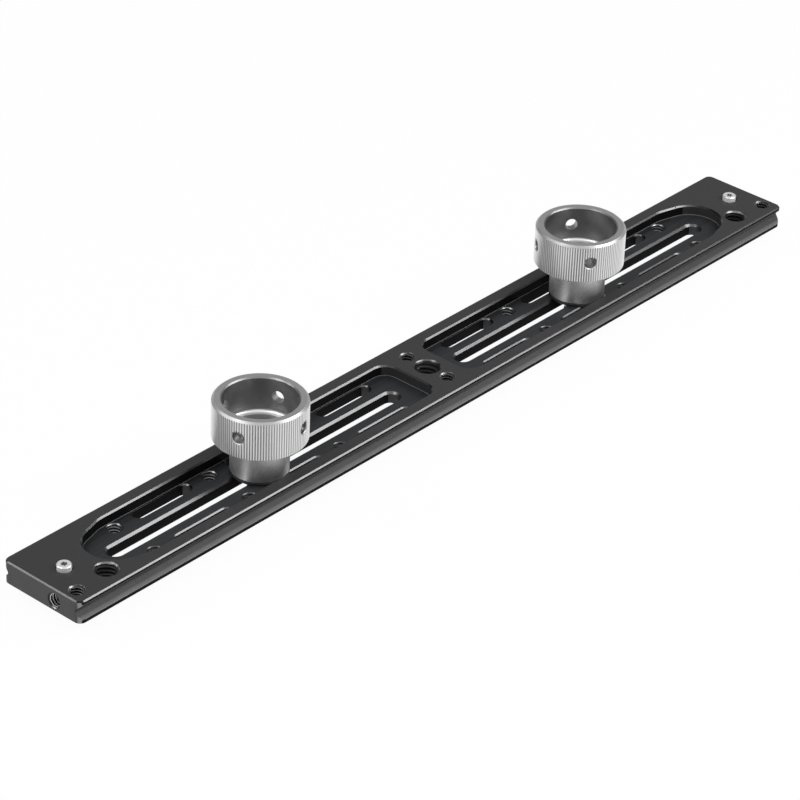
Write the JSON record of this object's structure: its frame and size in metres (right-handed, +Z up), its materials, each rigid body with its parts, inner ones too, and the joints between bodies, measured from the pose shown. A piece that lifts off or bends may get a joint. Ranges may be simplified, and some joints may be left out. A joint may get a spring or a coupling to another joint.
{
  "type": "nodal rail",
  "caption": "Long grooved camera support rail with pockets, slots and threaded holes, and knurled cup knobs that slide and turn on studs.",
  "frame": {"origin": "middle of the rail in plan, on the plane that the tips of the two studs stand on, 6 mm under the rail's underside", "axes": "+X along the rail, +Y across it away from the large end threads, +Z up through the knobs"},
  "size_m": [0.418, 0.04, 0.0431],
  "materials": {
    "black_anodised": "fine blasted, black anodised, milled bevels catching light",
    "stainless_steel": "bright, lightly turned",
    "blasted_aluminium": "bead blasted, clear anodised, straight knurl",
    "stud_steel": "satin, thread rolled",
    "nut_steel": "satin zinc",
    "black_nylon": "matte"
  },
  "bodies": {
    "rail_body": {"rail": "black_anodised", "left_stop_screw": "stainless_steel", "right_stop_screw": "stainless_steel"},
    "left_slider": {"left_washer": "black_nylon"},
    "left_clamp": {"left_knob": "blasted_aluminium", "left_stud": "stud_steel", "left_lock_nut": "nut_steel"},
    "right_slider": {"right_washer": "black_nylon"},
    "right_clamp": {"right_knob": "blasted_aluminium", "right_stud": "stud_steel", "right_lock_nut": "nut_steel"}
  },
  "joints": [
    {"name": "left_knob_slide", "type": "slide", "parent": "rail_body", "child": "left_slider", "axis": [1, 0, 0], "range_m": [-0.076, 0.07455]},
    {"name": "left_knob_turn", "type": "hinge", "parent": "left_slider", "child": "left_clamp", "pos_m": [-0.096, 0, 0], "axis": [0, 0, 1], "continuous": true},
    {"name": "right_knob_slide", "type": "slide", "parent": "rail_body", "child": "right_slider", "axis": [1, 0, 0], "range_m": [-0.07205, 0.0785]},
    {"name": "right_knob_turn", "type": "hinge", "parent": "right_slider", "child": "right_clamp", "pos_m": [0.0935, 0, 0], "axis": [0, 0, 1], "continuous": true}
  ]
}
